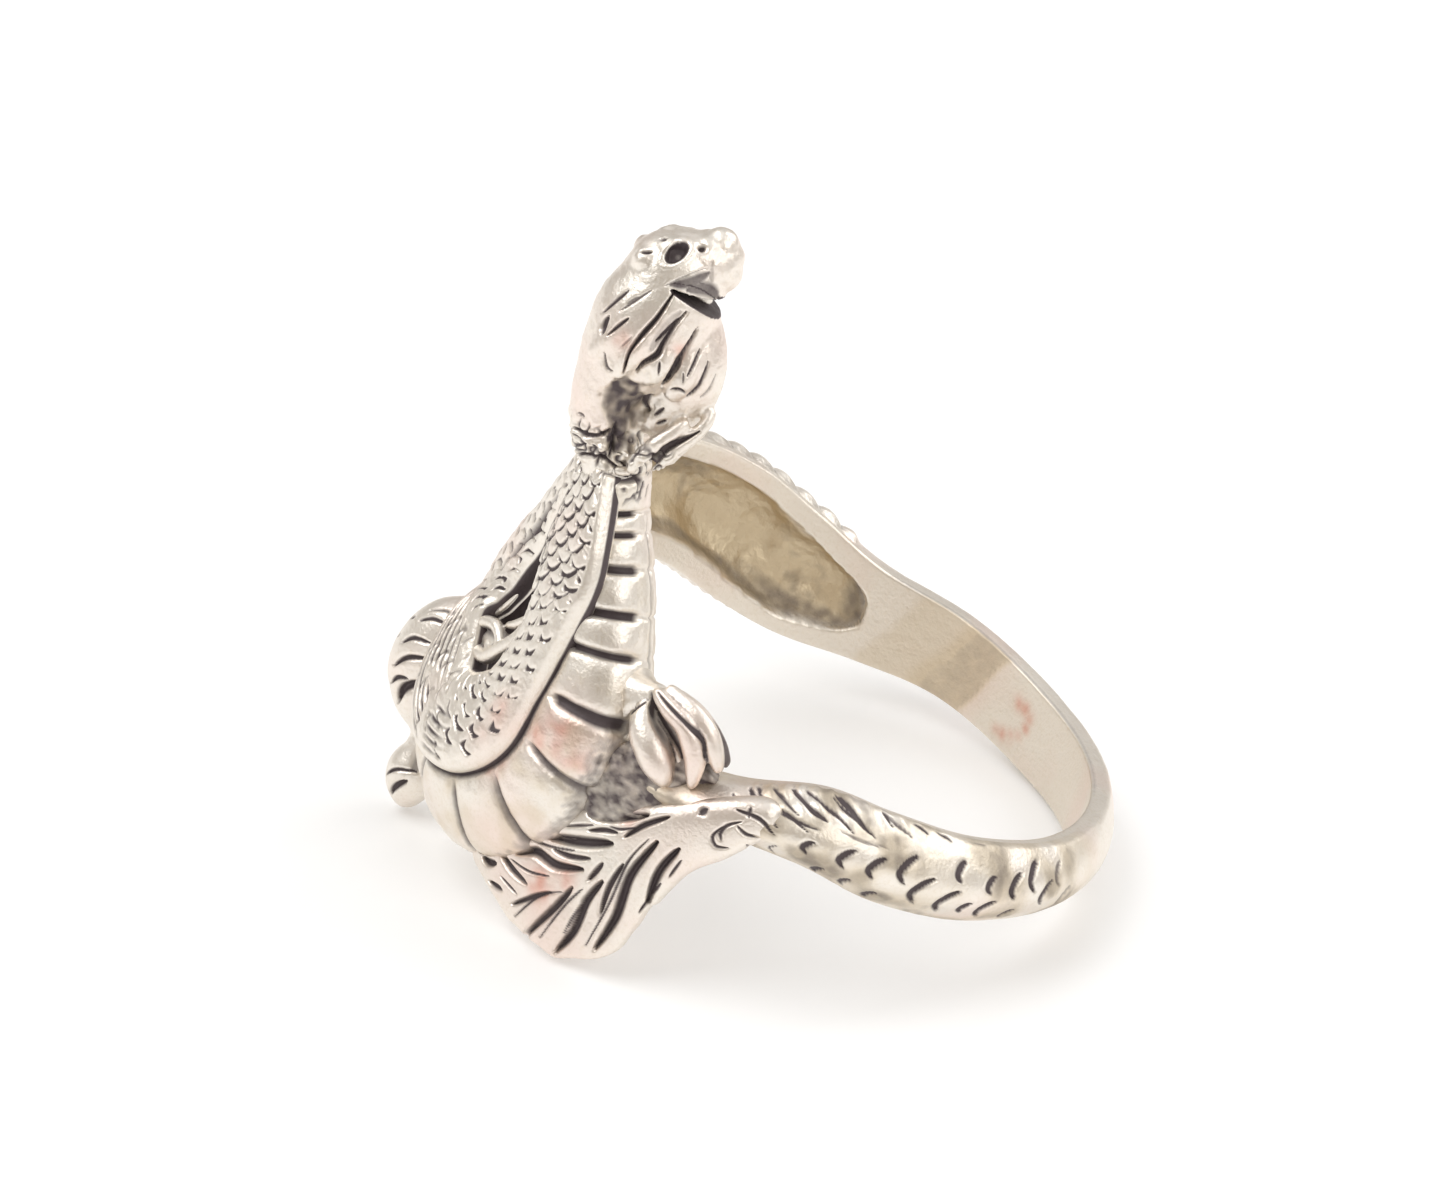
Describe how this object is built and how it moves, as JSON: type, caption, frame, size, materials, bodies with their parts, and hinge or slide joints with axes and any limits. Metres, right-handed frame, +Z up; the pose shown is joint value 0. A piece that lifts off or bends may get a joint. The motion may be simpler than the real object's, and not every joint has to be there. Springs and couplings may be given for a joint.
{
  "type": "dragon ring",
  "caption": "Cast silver finger ring: a dragon whose coiled body makes the face, its tail the band, and its head and neck stand up along the finger.",
  "frame": {"origin": "on the table, under the middle of the bounding box of the ring as it lies at rest", "axes": "+Z up from the table, -Y the side where the dragon's coiled face is, +X the side of the near foot and the tail's tuft; the finger axis leans 14.8 degrees from +Z towards +Y"},
  "size_m": [0.021, 0.0222, 0.0221],
  "materials": {
    "silver": "polished silver, darkened in the grooves"
  },
  "bodies": {
    "root": {"dragon_ring": "silver"}
  },
  "joints": []
}
